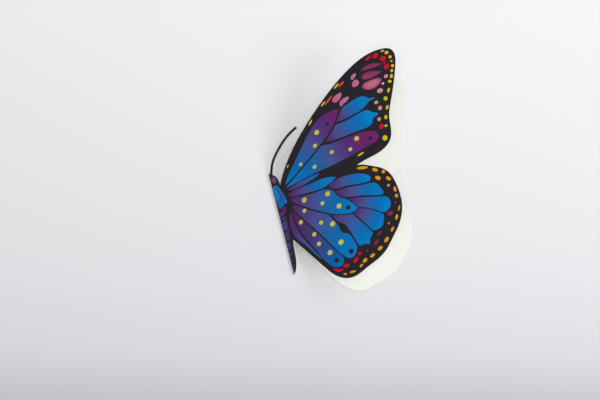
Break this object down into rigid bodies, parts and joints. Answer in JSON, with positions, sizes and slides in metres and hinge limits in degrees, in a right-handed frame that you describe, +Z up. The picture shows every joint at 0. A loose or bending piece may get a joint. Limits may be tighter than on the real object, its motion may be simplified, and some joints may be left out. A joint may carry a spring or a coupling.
{
  "type": "butterfly-shaped folded card",
  "caption": "One sheet of card die-cut as a butterfly with free antennae, creased along the body and lying on one leaf with the other raised.",
  "frame": {"origin": "middle of the crease, on the table, where the back leaf leaves the bend", "axes": "+X from the crease along the back leaf to the wing tips, +Y along the crease to the butterfly's head, +Z up from the table"},
  "size_m": [0.1231, 0.1781, 0.0489],
  "materials": {
    "printed_card": "satin print outside, uncoated off-white inside"
  },
  "bodies": {
    "root": {"butterfly_card": "printed_card"}
  },
  "joints": []
}
